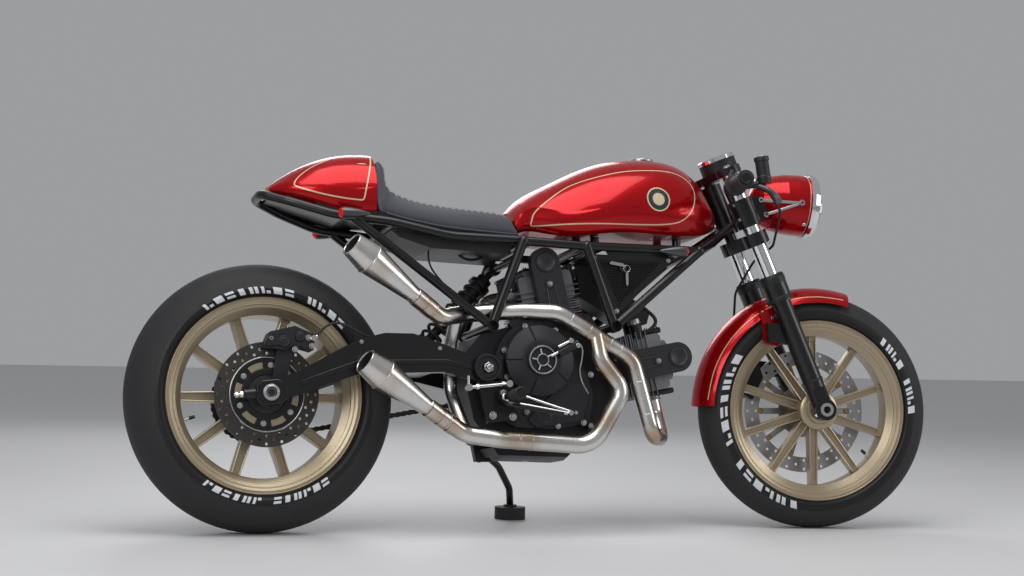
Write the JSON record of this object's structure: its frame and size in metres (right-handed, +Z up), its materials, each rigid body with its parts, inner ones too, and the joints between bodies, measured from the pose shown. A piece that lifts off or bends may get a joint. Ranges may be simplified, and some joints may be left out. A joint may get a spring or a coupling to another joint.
{
  "type": "cafe racer motorcycle",
  "caption": "Custom cafe racer motorcycle with a finned V-twin, leaning on its side stand; wheels spin, bars steer, stand folds.",
  "frame": {"origin": "on the floor, under the middle of the whole motorcycle's box", "axes": "+X forward, +Y to the rider's left, +Z up; the motorcycle leans to +Y on its stand"},
  "size_m": [2.0572, 0.676, 0.9634],
  "materials": {
    "candy_red": "candy red lacquer over a bright base, with pale pinstripes",
    "frame_black": "satin black powder coat",
    "engine_black": "matt black cast alloy",
    "cast_gold": "champagne gold on cast alloy",
    "tyre_rubber": "smooth black road rubber",
    "steel_exhaust": "brushed stainless with straw tint at the welds",
    "bright_steel": "ground steel",
    "chrome_plate": "polished chrome",
    "raw_alloy": "machined alloy",
    "seat_leather": "dark grey grained hide",
    "soft_rubber": "matt black rubber",
    "clear_glass": "clear glass",
    "dark_plastic": "matt black plastic"
  },
  "bodies": {
    "chassis": {"main_frame": "frame_black", "tail_subframe": "frame_black", "fuel_tank": "candy_red", "tank_cap": "raw_alloy", "seat": "seat_leather", "tail_cowl": "candy_red", "electrics_tray": "dark_plastic", "crankcase": "engine_black", "clutch_cover": "engine_black", "left_engine_cover": "engine_black", "cylinders": "engine_black", "belt_covers": "dark_plastic", "intake": "dark_plastic", "side_panels": "frame_black", "exhaust_pipes": "steel_exhaust", "upper_muffler": "steel_exhaust", "lower_muffler": "steel_exhaust", "swingarm": "frame_black", "shock_absorber": "frame_black", "rear_axle": "bright_steel", "rear_caliper": "engine_black", "drive_chain": "bright_steel", "right_foot_controls": "frame_black", "left_foot_controls": "frame_black", "turn_signals": "frame_black"},
    "steering": {"fork_clamps": "frame_black", "fork_stanchions": "chrome_plate", "fork_sliders": "frame_black", "front_axle": "bright_steel", "front_fender": "candy_red", "headlight_shell": "candy_red", "headlight_ring": "chrome_plate", "headlight_lens": "clear_glass", "headlight_stays": "raw_alloy", "handlebars": "frame_black", "grips": "soft_rubber", "hand_controls": "engine_black", "instrument": "engine_black", "front_caliper": "engine_black", "front_brake_hose": "soft_rubber"},
    "front_wheel": {"front_rim": "cast_gold", "front_tyre": "tyre_rubber", "front_disc": "bright_steel"},
    "rear_wheel": {"rear_rim": "cast_gold", "rear_tyre": "tyre_rubber", "rear_disc": "bright_steel", "rear_sprocket": "bright_steel"},
    "stand": {"side_stand": "frame_black", "stand_puck": "soft_rubber"}
  },
  "joints": [
    {"name": "steering_turn", "type": "hinge", "parent": "chassis", "child": "steering", "pos_m": [0.4976, -0.0071, 0.79481], "axis": [-0.3751, 0.1186, 0.9194], "range_deg": [-18.49, 37.51]},
    {"name": "front_wheel_spin", "type": "hinge", "parent": "steering", "child": "front_wheel", "pos_m": [0.73069, -0.07577, 0.30029], "axis": [0.1532, 0.9861, -0.0647], "continuous": true},
    {"name": "rear_wheel_spin", "type": "hinge", "parent": "chassis", "child": "rear_wheel", "pos_m": [-0.71044, -0.06874, 0.31636], "axis": [0.0001, 0.9918, -0.1279], "continuous": true},
    {"name": "stand_fold", "type": "hinge", "parent": "chassis", "child": "stand", "pos_m": [-0.13538, 0.03643, 0.19398], "axis": [0.1416, 0.7407, 0.6567], "range_deg": [0, 100]}
  ]
}
